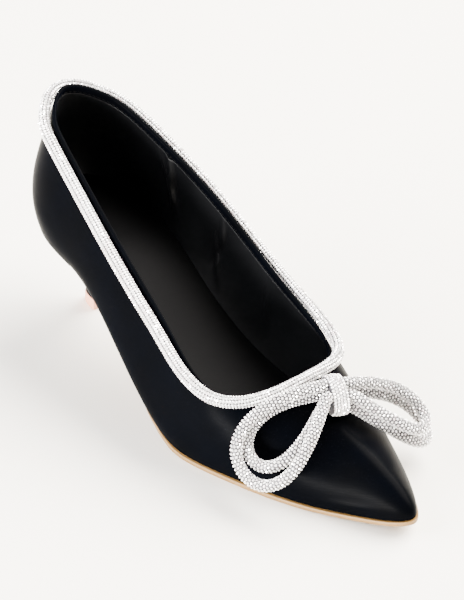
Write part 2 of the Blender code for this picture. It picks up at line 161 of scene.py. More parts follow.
# Uncoated card: matt, faintly fibrous, a touch warmer than the daylight. Its fibres are drawn coarser
# than real ones, so that they show.
card, tree, shader = new_material("uncoated_card", {"Roughness": 0.85, "Specular IOR Level": 0.2})
place = add_node(tree, "ShaderNodeTexCoord")
fibre = add_node(
    tree, "ShaderNodeTexNoise", {"Scale": 1 / CARD_FIBRE, "Detail": 3.0}, {"Vector": place.outputs["Object"]}
)
set_finish(tree, shader, (fibre.outputs["Fac"], "#F8F3E9", "#FCF9F2"))
corner = np.linspace(-CARD_SIZE / 2, CARD_SIZE / 2, 2)
card_x, card_y = np.meshgrid(corner, corner, indexing="ij")
floor = add_surface("card_floor", np.stack([card_x, card_y, np.full((2, 2), -CARD_BELOW)], -1), card)

# Lights, a row for each: how far to the camera's right, towards the camera and up it stands from the
# shoe, its width and height, all in metres, its power in watts and its colour.
LIGHTS = {
    "window": (1.3, -0.8, 1.7, 2.6, 2.0, 620, "#FFFAF2"),
    "left_window": (-1.6, 0.2, 1.0, 1.8, 1.4, 150, "#FBFAFC"),
    "low_window": (-1.0, 1.2, 0.13, 0.9, 0.16, 150, "#FFFCF8"),
}
towards = np.array([back[0], back[1], 0]) / np.hypot(back[0], back[1])
for name, (aside, near, up, width, height, power, colour) in LIGHTS.items():
    lamp = bpy.data.lights.new(name, "AREA")
    lamp.shape = "RECTANGLE"
    lamp.size = width
    lamp.size_y = height
    lamp.energy = power
    lamp.color = linear(colour)[:3]
    stand = level * aside + towards * near + np.array([0, 0, up])
    out = stand / np.linalg.norm(stand)
    across = np.cross([0, 0, 1], out)
    across /= np.linalg.norm(across)
    light = bpy.data.objects.new(name, lamp)
    axes = np.column_stack([across, np.cross(out, across), out, stand])
    light.matrix_world = Matrix(np.vstack([axes, [0, 0, 0, 1]]).tolist())
    bpy.context.scene.collection.objects.link(light)

# The room: bright low down where the walls are, dimmer overhead.
world = bpy.data.worlds.new("room")
world.use_nodes = True
tree = world.node_tree
sky = add_node(tree, "ShaderNodeTexCoord")
height = add_node(tree, "ShaderNodeSeparateXYZ", links={"Vector": sky.outputs["Generated"]})
shade = add_node(
    tree, "ShaderNodeMapRange", {"From Min": 0.1, "From Max": 0.75, "To Min": 0.0, "To Max": 1.0},
    {"Value": height.outputs["Z"]}, interpolation_type="SMOOTHSTEP",
)
tone = add_node(
    tree, "ShaderNodeMix", {6: linear("#F3F1EC"), 7: linear("#4A4B4E")},
    {0: shade.outputs["Result"]}, data_type="RGBA",
)
room = tree.nodes["Background"]
room.inputs["Strength"].default_value = 1.0
tree.links.new(tone.outputs[2], room.inputs["Color"])
bpy.context.scene.world = world

# Satin upper
# Black satin backed with a stiffener and pulled over the last, one wall from the sole to the topline.
# Its lower edge is turned under before it is glued, and its top edge is folded over and down inside.
PERCENT = 0.01
SHOE_LENGTH = 250 * MM
BALL_WIDTH = 78 * MM
INSTEP_HEIGHT = 42 * MM
BACK_HEIGHT = 110 * MM
SEAT_HEIGHT = 43 * MM
TREAD_BACK = 150 * MM
TREAD_FRONT = 206 * MM
TOE_SPRING = 6.5 * MM
BREAST = 50 * MM
SEAT_SLOPE = 0.16
SOLE_THICK = 2.5 * MM
UPPER_WALL = 1.8 * MM
FAN_REACH = 25 * MM
# The last, a row for each section from the heel to the toe: along in percent of the length and across
# in percent of the ball width, to the outer and the inner side, at the sole edge and at the topline; up
# from 0 at the instep to 100 at the back; rise and crown in mm; lean and drop in degrees.
LAST_COLUMNS = (
    "out_along", "out_across", "in_along", "in_across",
    "top_along", "top_out", "top_in", "up",
    "rise", "lean_out", "lean_in", "crown", "drop",
)
LAST = {
    "heel_back":   (1.6,  0.0,  1.6,  0.0,  3.5,  0.0,  0.0, 100.0, 20, 22, 22, 22, 76),
    "heel_corner": (3.8, 19.9,  3.8, 19.9,  6.6, 16.2, 18.9,  92.9, 19, 22, 22, 20, 77),
    "heel_side":  (10.8, 34.6, 10.8, 31.6, 11.5, 22.3, 28.5,  83.5, 17, 20, 20, 18, 80),
    "seat":       (20.8, 38.0, 20.8, 32.2, 21.8, 27.8, 36.3,  64.9, 14, 22, 22, 14, 82),
    "waist":      (34.4, 44.0, 34.4, 27.6, 34.8, 34.0, 42.0,  41.6, 12, 34, 45, 12, 84),
    "shank":      (46.4, 51.0, 47.2, 32.0, 47.2, 39.1, 42.7,  19.9, 12, 28, 40, 14, 80),
    "ball":       (57.2, 53.6, 60.0, 42.3, 56.9, 43.6, 43.9,   3.4, 14, 10, 14, 16, 72),
    "joint":      (68.0, 46.0, 71.2, 46.2, 63.6, 40.3, 40.4,  -3.7, 14,  6,  6, 18, 56),
    "shoulder":   (80.0, 32.0, 82.0, 39.7, 68.0, 27.5, 28.6,  -2.6, 13,  5,  5, 24, 38),
    "toe":        (91.2, 13.6, 92.8, 24.4, 69.7, 12.8, 12.2,  -0.9, 13,  5,  5, 34, 25),
    "tip_side":   (98.4,  1.9, 98.8, 11.5, 70.1,  3.6,  3.6,   0.0, 13,  5,  5, 39, 21),
    "tip":       (100.0, -5.1, 100.0, 5.1, 70.2,  0.0,  0.0,   0.0, 13,  5,  5, 39, 20),
}
HEEL_TIP_BACK = 25.9 * MM
NUDGE = 1e-4
ROUND_STEPS = 420
RISE_STEPS = 52
UNDER_STEPS, OVER_STEPS, FOLD_STEPS, INSIDE_STEPS = 6, 11, 8, 16
SKIN = 0.9 * MM
TURN_UNDER = 0.6 * MM
FOLD_DOWN = 4.5 * MM
UV_UNIT = 10 * MM

tip_low, tip_high = (np.array(corner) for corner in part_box("heel_tip"))
ORIGIN = np.array([tip_low[0] - HEEL_TIP_BACK, (tip_low[1] + tip_high[1]) / 2, 0])


def closed_spline(knots, rows, t):
    """The smoothest closed cubic curves through the rows at knots from 0 to 1, read at t.

    On each stretch the curve is the cubic with the rows' values and the second slopes at both ends
    that make the first slopes agree at every knot, which is one linear system round the ring.
    """
    n = len(rows)
    h = np.diff(knots)
    before = np.roll(h, 1)
    chord = (np.roll(rows, -1, 0) - rows) / h[:, None]
    index = np.arange(n)
    system = np.zeros((n, n))
    system[index, index - 1] += before
    system[index, index] += 2 * (before + h)
    system[index, (index + 1) % n] += h
    bend = np.linalg.solve(system, 6 * (chord - np.roll(chord, 1, 0)))
    t = np.mod(t, 1)
    j = np.clip(np.searchsorted(knots, t, side="right") - 1, 0, n - 1)
    k = (j + 1) % n
    step = h[j][:, None]
    after = (t - knots[j])[:, None]
    left = step - after
    return (
        (bend[j] * left**3 + bend[k] * after**3) / (6 * step)
        + (rows[j] / step - bend[j] * step / 6) * left
        + (rows[k] / step - bend[k] * step / 6) * after
    )


def unit(vectors):
    """The vectors divided by their lengths."""
    return vectors / np.linalg.norm(vectors, axis=-1, keepdims=True)


def sole_line(x):
    """Height of the sole's underside at x: straight seat, cubic shank, flat tread, square toe spring."""
    behind = np.clip((TREAD_BACK - x) / (TREAD_BACK - BREAST), 0, 1)
    shank = SEAT_HEIGHT * behind**2 * (3 - 2 * behind)
    shank += SEAT_SLOPE * (TREAD_BACK - BREAST) * (behind**3 - behind**2)
    seat = SEAT_SLOPE * np.maximum(BREAST - x, 0)
    toe = TOE_SPRING * (np.maximum(x - TREAD_FRONT, 0) / (SHOE_LENGTH - TREAD_FRONT)) ** 2
    return shank + seat + toe


def last_ring():
    """The last's sections as one closed ring: heel back, outer side, toe tip, inner side."""
    rows = {c: np.array([r[i] for r in LAST.values()]) for i, c in enumerate(LAST_COLUMNS)}
    length, width = SHOE_LENGTH * PERCENT, BALL_WIDTH * PERCENT
    top_z = INSTEP_HEIGHT + (BACK_HEIGHT - INSTEP_HEIGHT) * PERCENT * rows["up"]

    def side(name, sign):
        return np.column_stack([
            rows[f"{name}_along"] * length, sign * rows[f"{name}_across"] * width,
            rows["top_along"] * length, sign * rows[f"top_{name}"] * width, top_z,
            rows["rise"] * MM, np.radians(rows[f"lean_{name}"]),
            rows["crown"] * MM, np.radians(rows["drop"]),
        ])

    return np.vstack([side("out", -1), side("in", 1)[-2:0:-1]])


RING = last_ring()
ring_step = np.sqrt(
    np.linalg.norm(np.roll(RING[:, :2], -1, 0) - RING[:, :2], axis=1)
    + np.linalg.norm(np.roll(RING[:, 2:5], -1, 0) - RING[:, 2:5], axis=1)
)
RING_KNOTS = np.concatenate([[0], np.cumsum(ring_step)]) / ring_step.sum()
SECTIONS = list(LAST)


def ribs(t):
    """The four Bezier points of the upper's rib at each t: sole edge, rise, crown and topline.

    The rise leaves the sole edge at its lean from upright. The crown leaves the topline at its drop
    below level, along the topline's normal, or towards the sole edge where that lies further out.
    """

    def outward(curve):
        along = curve(t + NUDGE) - curve(t - NUDGE)
        return unit(np.column_stack([along[:, 1], -along[:, 0]]))

    row = closed_spline(RING_KNOTS, RING, t)
    foot, top = row[:, :2], row[:, 2:5]
    foot_out = outward(lambda u: closed_spline(RING_KNOTS, RING, u)[:, :2])
    top_out = outward(lambda u: closed_spline(RING_KNOTS, RING, u)[:, 2:4])
    rise, lean, crown, drop = (row[:, i : i + 1] for i in range(5, 9))
    start = np.column_stack([foot, sole_line(foot[:, 0]) + SOLE_THICK])
    away = foot - top[:, :2]
    reach = np.linalg.norm(away, axis=1, keepdims=True)
    fan = np.clip(reach / FAN_REACH, 0, 1)
    heading = unit(top_out * (1 - fan) + away / np.maximum(reach, MM) * fan)
    leave = start + rise * np.column_stack([foot_out * np.sin(lean), np.cos(lean)])
    arrive = top + crown * np.column_stack([heading * np.cos(drop), -np.sin(drop)])
    return start, leave, arrive, top


def upper_surface(t, h):
    """The upper's outer face: t goes round the shoe, and h up each rib's cubic Bezier from 0 to 1."""
    start, leave, arrive, top = (p[:, None] for p in ribs(t))
    h = h[..., None]
    k = 1 - h
    return k**3 * start + 3 * h * k**2 * leave + 3 * h**2 * k * arrive + h**3 * top


def upper_normal(t, h):
    """Outward unit normals of the upper's outer face: across the way round and the way up."""
    low, high = np.clip(h - NUDGE, 0, 1), np.clip(h + NUDGE, 0, 1)
    way_round = upper_surface(t + NUDGE, h) - upper_surface(t - NUDGE, h)
    return unit(np.cross(way_round, upper_surface(t, high) - upper_surface(t, low)))


def foot_share(t, above):
    """The h that lies a distance above the sole edge: the distance over three times the rib's rise."""
    start, leave, _, _ = ribs(t)
    return above / (3 * np.linalg.norm(leave - start, axis=1))[:, None]


def edge_share(t, below):
    """The h that lies a distance below the topline: 1 less the distance over three times the crown."""
    _, _, arrive, top = ribs(t)
    return 1 - below / (3 * np.linalg.norm(top - arrive, axis=1))[:, None]


def ring_place(section, side):
    """The t of a section of the last on its outer or its inner side."""
    place = SECTIONS.index(section)
    return RING_KNOTS[place] if side == "out" else RING_KNOTS[(len(RING) - place) % len(RING)]


def creases(t, h, table):
    """How far soft troughs and ridges lift the wall, in metres.

    Each is a bell across its line and a cosine bump along it: depth * exp(-(across / width)^2)
    * cos^2(pi * along / length), with distances measured on the wall round its own middle.
    """
    lift = np.zeros(h.shape)
    for section, side, up, slant, length, width, depth in table:
        middle, up = np.array([ring_place(section, side)]), np.array([[up]])
        span = upper_surface(middle + NUDGE, up) - upper_surface(middle - NUDGE, up)
        rise = upper_surface(middle, up + NUDGE) - upper_surface(middle, up - NUDGE)
        aside = (np.mod(t - middle + 0.5, 1) - 0.5)[:, None] * np.linalg.norm(span) / (2 * NUDGE)
        above = (h - up) * np.linalg.norm(rise) / (2 * NUDGE)
        turn = np.radians(slant)
        along = aside * np.sin(turn) + above * np.cos(turn)
        across = aside * np.cos(turn) - above * np.sin(turn)
        fade = np.cos(np.pi * np.clip(along / (length * MM), -0.5, 0.5)) ** 2
        lift += depth * MM * np.exp(-((across / (width * MM)) ** 2)) * fade
    return lift


def wall_uv(points):
    """UV of a wrapped grid on the wall: mean distance round the shoe and mean distance along the section."""
    closed = np.concatenate([points, points[:1]])
    closed = np.concatenate([closed, closed[:, :1]], axis=1)
    way_round = np.linalg.norm(np.diff(closed, axis=0), axis=2).mean(1)
    way_along = np.linalg.norm(np.diff(closed, axis=1), axis=2).mean(0)
    u = np.concatenate([[0], np.cumsum(way_round)]) / UV_UNIT
    v = np.concatenate([[0], np.cumsum(way_along)]) / UV_UNIT
    return np.stack(np.meshgrid(u, v, indexing="ij"), axis=-1)


# Creases of the satin: section, side, share of the way up, slant from upright in degrees, length,
# width and depth in mm. Minus is a trough.
SATIN_CREASES = (
    ("seat", "out", 0.16, 78, 46, 4.0, 0.35),
    ("waist", "out", 0.30, 70, 52, 5.0, -0.35),
    ("heel_side", "out", 0.24, 84, 40, 4.5, 0.30),
    ("shank", "out", 0.42, 62, 44, 5.0, 0.25),
    ("waist", "in", 0.38, -30, 30, 3.5, -0.40),
    ("shank", "in", 0.34, -24, 30, 3.5, -0.35),
    ("joint", "out", 0.60, 66, 30, 4.5, -0.22),
    ("shoulder", "out", 0.34, 80, 34, 3.0, 0.22),
    ("shoulder", "in", 0.34, -80, 34, 3.0, 0.22),
    ("toe", "out", 0.12, 88, 46, 2.0, 0.5),
)
THREAD_WIDTH = 0.55 * MM
THREAD_FLOAT = 7.0 * MM
CLOUD = 26 * MM

# Black duchess satin: long floats of fine thread that give a soft sheen along them, with a navy tint
# where it turns to the light. Real threads are near 0.1 mm, and are drawn wider so that they show.
satin, tree, shader = new_material(
    "black_duchess_satin",
    {"Specular IOR Level": 0.006, "IOR": 1.46, "Sheen Weight": 0.008, "Sheen Roughness": 0.4,
     "Sheen Tint": linear("#4A5F9E")},
)
place = add_node(tree, "ShaderNodeTexCoord")
floats = add_node(
    tree, "ShaderNodeMapping",
    {"Scale": (UV_UNIT / THREAD_FLOAT, UV_UNIT / THREAD_WIDTH, 1)}, {"Vector": place.outputs["UV"]},
)
threads = add_node(
    tree, "ShaderNodeTexNoise", {"Scale": 1.0, "Detail": 2.0, "Roughness": 0.5},
    {"Vector": floats.outputs["Vector"]},
)
cloud = add_node(
    tree, "ShaderNodeTexNoise", {"Scale": 1 / CLOUD, "Detail": 2.0}, {"Vector": place.outputs["Object"]}
)
set_finish(
    tree, shader,
    tones=(cloud.outputs["Fac"], "#020202", "#020306"),
    roughness=(threads.outputs["Fac"], 0.30, 0.40),
    relief=(threads.outputs["Fac"], 0.18, 0.05 * MM),
)

t = np.arange(ROUND_STEPS) / ROUND_STEPS
under = np.linspace(-np.pi / 2, 0, UNDER_STEPS)
over = np.linspace(0, np.pi, OVER_STEPS)
half = UPPER_WALL / 2
rise = np.linspace(0, 1, RISE_STEPS)[1:-1]
face_low = foot_share(t, TURN_UNDER)
face_high = edge_share(t, half)
fold_below = np.linspace(half, FOLD_DOWN, FOLD_STEPS)[1:]
inside = np.linspace(1, 0, INSIDE_STEPS)
h = np.concatenate([
    foot_share(t, TURN_UNDER * (1 + np.sin(under))),
    face_low + (face_high - face_low) * rise,
    edge_share(t, half * (1 - np.sin(over))),
    edge_share(t, fold_below),
    edge_share(t, np.array([FOLD_DOWN])) * inside,
], axis=1)
depth = np.concatenate([
    TURN_UNDER * (1 - np.cos(under)),
    np.zeros(len(rise)),
    half * (1 - np.cos(over)),
    np.full(len(fold_below), UPPER_WALL),
    np.full(len(inside), SKIN),
])
shown = np.clip(1 - depth / SKIN, 0, 1)
lift = creases(t, h, SATIN_CREASES) * shown - depth
points = upper_surface(t, h) + lift[..., None] * upper_normal(t, h) + ORIGIN
upper = add_surface("satin_upper", points, satin, (True, True), uv=wall_uv(points))
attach(upper, "root")
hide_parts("upper")

# Lining
# Thin black lining leather glued inside the satin, from the sock up to the folded edge.
# It isn't stretched as hard as the satin, so it stands off in soft folds along the arch.
LINING_GAP = 0.05 * MM
LINING_EDGE = 0.5 * MM
LINING_ROUND = 840
LINING_STEPS = 52
LINING_EDGE_STEPS = 7
PORE = 0.7 * MM
# Folds of the lining, in the columns of the satin's creases. Minus stands up into the shoe.
LINING_FOLDS = (
    ("seat", "in", 0.60, 12, 46, 1.7, -2.0),
    ("seat", "in", 0.50, 34, 38, 1.8, -1.5),
    ("seat", "in", 0.40, -14, 32, 1.8, 1.0),
    ("waist", "in", 0.62, 8, 32, 1.7, -0.7),
    ("waist", "in", 0.48, -14, 34, 2.0, 0.7),
    ("waist", "in", 0.36, 30, 30, 1.8, -0.8),
    ("shank", "in", 0.50, 12, 30, 2.2, -0.6),
    ("heel_side", "in", 0.46, 20, 34, 3.0, -0.4),
    ("waist", "out", 0.50, 36, 36, 2.4, -0.8),
    ("seat", "out", 0.46, 42, 34, 2.4, -0.7),
    ("shank", "out", 0.46, 30, 32, 2.6, -0.7),
)


def black_leather(name, specular, tones, roughness, grain):
    """Plated black leather: soft patches between two tones and two roughnesses, and a grain of pores.

    Grain is the strength and the depth of the pores.
    """
    leather, tree, shader = new_material(name, {"Specular IOR Level": specular, "IOR": 1.5})
    place = add_node(tree, "ShaderNodeTexCoord")
    pores = add_node(
        tree, "ShaderNodeTexVoronoi", {"Scale": 1 / PORE}, {"Vector": place.outputs["Object"]}
    )
    patches = add_node(
        tree, "ShaderNodeTexNoise", {"Scale": 1 / CLOUD, "Detail": 3.0}, {"Vector": place.outputs["Object"]}
    )
    set_finish(
        tree, shader,
        tones=(patches.outputs["Fac"], *tones),
        roughness=(patches.outputs["Fac"], *roughness),
        relief=(pores.outputs["Distance"], *grain),
    )
    return leather


# Black lining leather: thin, smooth and plated, with fine pores and a low gloss. Its pores are drawn
# wider than real ones, which are near 0.2 mm, so that they show.
lining_leather = black_leather(
    "black_lining_leather", 0.17, ("#040405", "#08090B"), (0.36, 0.5), (0.22, 0.06 * MM)
)

around = np.arange(LINING_ROUND) / LINING_ROUND
lining_top = edge_share(around, np.array([FOLD_DOWN + LINING_EDGE]))
turn = np.linspace(0, np.pi, LINING_EDGE_STEPS)[1:-1]
thick = UPPER_WALL - SKIN - LINING_GAP
down = np.linspace(1, 0, LINING_STEPS)
h = np.concatenate([
    lining_top * np.linspace(0, 1, INSIDE_STEPS),
    edge_share(around, FOLD_DOWN + LINING_EDGE - LINING_EDGE * np.sin(turn) / 2),
    lining_top * down,
], axis=1)
depth = np.concatenate([
    np.full(INSIDE_STEPS, SKIN + LINING_GAP),
    SKIN + LINING_GAP + thick * (1 - np.cos(turn)) / 2,
    np.full(LINING_STEPS, UPPER_WALL),
])
shown = np.clip((depth - SKIN - LINING_GAP) / thick, 0, 1)
lift = creases(around, h, LINING_FOLDS) * shown - depth
points = upper_surface(around, h) + lift[..., None] * upper_normal(around, h) + ORIGIN
lining = add_surface("upper_lining", points, lining_leather, (True, True), uv=wall_uv(points))
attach(lining, "root")
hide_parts("upper")

# Topline stitching
# One row of black thread, sewn through the folded edge just above its lower end.
# Each stitch is a short bead of thread that sinks in at both ends.
STITCH_PITCH = 2.4 * MM
STITCH_LENGTH = 1.9 * MM
THREAD_RADIUS = 0.2 * MM
STITCH_BELOW = 3.6 * MM
STITCH_SINK = 0.6
STITCH_STEPS, STITCH_SIDES = 5, 6

# Bonded polyester thread: smooth and black, a little glossier than the satin.
thread, tree, shader = new_material(
    "bonded_black_thread",
    {"Roughness": 0.5, "Specular IOR Level": 0.05, "Base Color": linear("#040405")},
)
place = add_node(tree, "ShaderNodeTexCoord")
ply = add_node(
    tree, "ShaderNodeTexWave", {"Scale": 1 / THREAD_RADIUS}, {"Vector": place.outputs["Object"]},
    wave_type="BANDS", bands_direction="DIAGONAL",
)
twist = add_node(
    tree, "ShaderNodeBump", {"Strength": 0.3, "Distance": 0.05 * MM}, {"Height": ply.outputs["Fac"]}
)
tree.links.new(twist.outputs["Normal"], shader.inputs["Normal"])


def even_steps(points, step, closed, *others):
    """Points spaced evenly along a line, with the values that go with them.

    Each column is read off the line at equal shares of its whole length.
    """
    columns = np.concatenate([points, *others], axis=1)
    if closed:
        columns = np.concatenate([columns, columns[:1]])
    far = np.concatenate([[0], np.cumsum(np.linalg.norm(np.diff(columns[:, :3], axis=0), axis=1))])
    count = int(round(far[-1] / step))
    at = np.arange(count) / count * far[-1] if closed else (np.arange(count) + 0.5) / count * far[-1]
    read = np.column_stack([np.interp(at, far, column) for column in columns.T])
    return [read[:, i : i + 3] for i in range(0, read.shape[1], 3)]


def add_repeated(name, shapes, faces, material, smooth):
    """One piece of many equal shapes: their points as an array of shapes, and the faces of one of them."""
    count, size = shapes.shape[:2]
    every = (np.arange(count)[:, None, None] * size + np.array(faces)[None]).reshape(-1, len(faces[0]))
    mesh = bpy.data.meshes.new(name)
    mesh.from_pydata(shapes.reshape(-1, 3).tolist(), [], every.tolist())
    if smooth:
        mesh.shade_smooth()
    mesh.materials.append(material)
    piece = bpy.data.objects.new(name, mesh)
    bpy.context.scene.collection.objects.link(piece)
    return piece


def line_frame(path, face, closed):
    """Unit directions of a line: along it, out of the face it lies on, and across both."""
    if closed:
        along = unit(np.roll(path, -1, 0) - np.roll(path, 1, 0))
    else:
        along = unit(np.gradient(path, axis=0))
    out = unit(face - np.sum(face * along, axis=1, keepdims=True) * along)
    return along, out, np.cross(along, out)


seam_h = edge_share(t, np.array([STITCH_BELOW]))
seam_out = -upper_normal(t, seam_h)[:, 0]
seam = upper_surface(t, seam_h)[:, 0] + seam_out * UPPER_WALL + ORIGIN
seam, seam_out = even_steps(seam, STITCH_PITCH, True, seam_out)
along, out, across = line_frame(seam, seam_out, True)
# A bead: a ring of thread at each step along it, on a half wave that rises out of the cloth.
step = np.linspace(-1, 1, STITCH_STEPS)
turn = np.arange(STITCH_SIDES) / STITCH_SIDES * 2 * np.pi
bead_along = np.repeat(step * STITCH_LENGTH / 2, STITCH_SIDES)
bead_out = np.repeat(np.cos(step * np.pi / 2) - STITCH_SINK, STITCH_SIDES) * THREAD_RADIUS
bead_out = bead_out + np.tile(np.sin(turn), STITCH_STEPS) * THREAD_RADIUS
bead_across = np.tile(np.cos(turn), STITCH_STEPS) * THREAD_RADIUS
beads = (
    seam[:, None]
    + along[:, None] * bead_along[None, :, None]
    + out[:, None] * bead_out[None, :, None]
    + across[:, None] * bead_across[None, :, None]
)
bead_faces = []
for i in range(STITCH_STEPS - 1):
    for j in range(STITCH_SIDES):
        k = (j + 1) % STITCH_SIDES
        a, b = i * STITCH_SIDES, (i + 1) * STITCH_SIDES
        bead_faces.append([a + j, b + j, b + k, a + k])
last = (STITCH_STEPS - 1) * STITCH_SIDES
bead_faces += [[0, 1, 2, 3], [0, 3, 4, 5]]
bead_faces += [[last + 3, last + 2, last + 1, last], [last + 5, last + 4, last + 3, last]]
stitches = add_repeated("topline_stitches", beads, bead_faces, thread, True)
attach(stitches, "root")

# Sock
# The sock is black lining leather over thin foam, cut to the last and glued to the inside bottom.
# Its edge is rolled, and its face is plain.
GAP = 0.3 * MM
INSOLE_THICK = 2.2 * MM
SOCK_MARGIN = 0.1 * MM
SOCK_EDGE = 1.0 * MM
SOCK_CROWN = 0.3
SOCK_STEPS = 220
ACROSS_STEPS = 28
EDGE_STEPS = 9
EDGE_POWER = 0.6
EDGE_MOST = 1 / 3
OUTLINE_STEPS = 2400


def foot_outline(margin):
    """The sole edge in plan as a closed line, pushed outwards by the margin along its normals."""
    around = np.arange(OUTLINE_STEPS) / OUTLINE_STEPS
    line = closed_spline(RING_KNOTS, RING, around)[:, :2]
    along = np.roll(line, -1, 0) - np.roll(line, 1, 0)
    return line + margin * unit(np.column_stack([along[:, 1], -along[:, 0]]))


def wall_outline(above, margin):
    """The wall in plan at a height above the sole edge, pushed outwards by the margin along its normals."""
    around = np.arange(OUTLINE_STEPS) / OUTLINE_STEPS
    up = foot_share(around, np.array([above]))
    return (upper_surface(around, up) + margin * upper_normal(around, up))[:, 0, :2]


def side_reach(line):
    """A function of x for a closed line's outer and inner side, and its two ends along x."""
    tip, heel_end = line[:, 0].argmax(), line[:, 0].argmin()
    outer = np.roll(line, -heel_end, 0)[: (tip - heel_end) % len(line) + 1]
    inner = np.roll(line, -tip, 0)[: (heel_end - tip) % len(line) + 1][::-1]

    def at(x):
        return np.interp(x, outer[:, 0], outer[:, 1]), np.interp(x, inner[:, 0], inner[:, 1])

    return at, line[heel_end, 0], line[tip, 0]


def layer_grid(low, high, low_sides, high_sides, edge, crown):
    """A layer of leather carried along a path, as rings across it.

    A ring goes along the low face from the outer to the inner side, round the inner edge, back along
    the high face and round the outer edge. Edges are set in by 1 - cos^power of a half turn, and the high
    face is lifted by the crown's share of the thickness times 1 - s^2 across it.
    """
    turn = np.linspace(-np.pi / 2, np.pi / 2, EDGE_STEPS)
    edge_up = 0.5 + 0.5 * np.sign(np.sin(turn)) * np.abs(np.sin(turn)) ** EDGE_POWER
    set_in = 1 - np.abs(np.cos(turn)) ** EDGE_POWER
    s = np.linspace(-1, 1, ACROSS_STEPS)[1:-1]

    def across(sides):
        outer, inner = (side[:, None] for side in sides)
        ease = np.minimum(edge, (inner - outer) * EDGE_MOST)
        middle, half = (outer + inner) / 2, (inner - outer) / 2 - ease
        return np.concatenate(
            [middle + half * s, inner - ease * set_in, middle - half * s, outer + ease * set_in], axis=1
        )

    up = np.concatenate([np.zeros(len(s)), edge_up, 1 + crown * (1 - s**2), edge_up[::-1]])
    y = across(low_sides) + (across(high_sides) - across(low_sides)) * np.clip(up, 0, 1)
    x = low[:, :1] + (high - low)[:, :1] * up
    z = low[:, 1:] + (high - low)[:, 1:] * up
    return np.stack([x, y, z], axis=-1) + ORIGIN


# Black sock leather: smooth calf with a soft low gloss, a shade greyer than the lining.
sock_leather = black_leather(
    "black_sock_leather", 0.01, ("#0C0C0D", "#111112"), (0.4, 0.5), (0.15, 0.05 * MM)
)

low_reach, low_back, low_front = side_reach(foot_outline(-UPPER_WALL - SOCK_MARGIN))
high_line = wall_outline(GAP + INSOLE_THICK, -UPPER_WALL - SOCK_MARGIN)
high_reach, high_back, high_front = side_reach(high_line)
sock_back = max(low_back, high_back) + SOCK_MARGIN
sock_front = min(low_front, high_front) - SOCK_MARGIN
sock_turn = np.linspace(0, np.pi, SOCK_STEPS)
x = (sock_back + sock_front) / 2 + (sock_front - sock_back) / 2 * np.cos(sock_turn)
low = np.column_stack([x, sole_line(x) + SOLE_THICK + GAP])
high = low + np.array([0, INSOLE_THICK])
points = layer_grid(low, high, low_reach(x), high_reach(x), SOCK_EDGE, SOCK_CROWN)
sock = add_surface("sock", points, sock_leather, (False, True), capped=True)
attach(sock, "root")
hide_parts("insole")

# Sole
# Tan sole leather, cut to the outline and glued on, thick under the tread and skived towards the waist.
# At the heel's breast it turns down as a thin flap. Its cut edge is rounded.
SOLE_LEDGE = 0.8 * MM
WAIST_SET_IN = 1.5 * MM
WAIST_SPAN = (105 * MM, 140 * MM)
FLAP_THICK = 1.3 * MM
FLAP_SET_IN = 0.4 * MM
FLAP_BEND_ALONG = 3.1 * MM
FLAP_BEND_DOWN = 2.6 * MM
FLAP_BEND_START = 4 * MM
SOLE_EDGE = 0.6 * MM
SOLE_STEPS = 260
SOLE_CROWDING = 1.8
TOE_TRIM = 0.05 * MM
FIBRE_GRAIN = 1.1 * MM
FIBRE_SPECK = 0.35 * MM

# The heel, a row for each level from its tip to the seat, in mm.
HEEL_COLUMNS = ("up", "back", "front", "half_width")
HEEL = (
    (6.0, 26.4, 35.0, 4.2),
    (12.0, 26.3, 35.4, 4.3),
    (17.0, 25.2, 36.6, 5.2),
    (22.0, 22.6, 38.8, 7.8),
    (28.0, 18.8, 41.8, 11.6),
    (34.0, 14.0, 45.0, 16.2),
    (40.0, 8.8, 48.0, 21.2),
)
HEEL_STEPS = 64
HEEL_SIDES = 96
FLAP_FIRST_LEVEL = 5


def smooth_rows(knots, rows, t):
    """Cubic curves through the rows with slopes from their neighbours, read at t."""
    slopes = np.gradient(rows, knots, axis=0)
    j = np.clip(np.searchsorted(knots, t, side="right") - 1, 0, len(knots) - 2)
    step = (knots[j + 1] - knots[j])[:, None]
    u = ((t - knots[j]) / step[:, 0])[:, None]
    rise = u * u * (3 - 2 * u)
    return (
        rows[j] * (1 - rise)
        + rows[j + 1] * rise
        + step * (slopes[j] * u * (1 - u) ** 2 - slopes[j + 1] * u * u * (1 - u))
    )


def heel_grid():
    """The heel as rings from tip to seat: a D with its flat breast in front, turning into the seat's edge.

    Each ring is the D plus the square of its share of the height times what the seat's edge has more.
    """
    reach, back_x, _ = side_reach(foot_outline(0))
    seat = [SEAT_HEIGHT + SOLE_THICK - GAP, back_x, BREAST, -reach(BREAST)[0]]
    table = np.vstack([np.array(HEEL) * MM, seat])
    share = np.linspace(0, 1, HEEL_STEPS + 1)
    size = dict(zip(HEEL_COLUMNS, smooth_rows(np.linspace(0, 1, len(table)), table, share).T[:, :, None]))
    line = foot_outline(0)
    line = np.roll(line, -line[:, 0].argmax(), 0)
    line = line[line[:, 0] <= BREAST]
    far = np.concatenate([[0], np.cumsum(np.linalg.norm(np.diff(line, axis=0), axis=1))])
    even = np.linspace(far[-1], 0, HEEL_SIDES + 1)
    edge = np.column_stack([np.interp(even, far, line[:, i]) for i in (0, 1)])
    turn = np.linspace(-np.pi / 2, np.pi / 2, HEEL_SIDES + 1)
    seat_x = (BREAST - edge[:, 0]) / (BREAST - edge[:, 0].min())
    seat_y = edge[:, 1] / size["half_width"][-1]
    grow = share[:, None] ** 2
    x = size["front"] - (np.cos(turn) + (seat_x - np.cos(turn)) * grow) * (size["front"] - size["back"])
    y = (np.sin(turn) + (seat_y - np.sin(turn)) * grow) * size["half_width"]
    z = size["up"] + SEAT_SLOPE * grow * (size["front"] - x)
    return np.stack([x, y, z], axis=-1)


